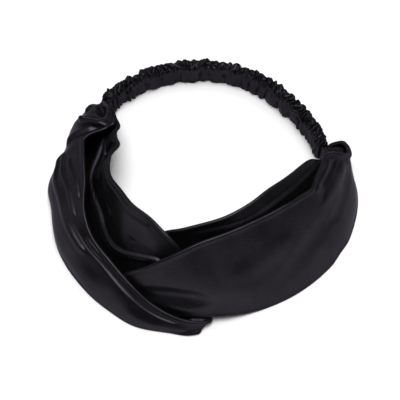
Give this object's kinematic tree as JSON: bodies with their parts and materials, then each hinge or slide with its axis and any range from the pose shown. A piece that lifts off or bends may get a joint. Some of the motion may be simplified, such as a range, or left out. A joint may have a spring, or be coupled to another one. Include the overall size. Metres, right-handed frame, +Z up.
{
  "type": "twist headband",
  "caption": "Black satin twist headband: folded satin loops hooked through each other at the front, joined at the back by a ruched elastic casing. Lies on its lower edge as a whole ring.",
  "frame": {"origin": "under the middle of the whole headband, on the surface it rests on", "axes": "+Z up, along the head; +Y from the twist towards the casing at the back; +X towards the right loop"},
  "size_m": [0.1786, 0.1818, 0.0522],
  "materials": {
    "loop_satin": "black satin with a soft broad sheen",
    "casing_satin": "the same black satin, ruched over flat elastic"
  },
  "bodies": {
    "root": {"left_loop": "loop_satin", "right_loop": "loop_satin", "back_casing": "casing_satin"}
  },
  "joints": []
}
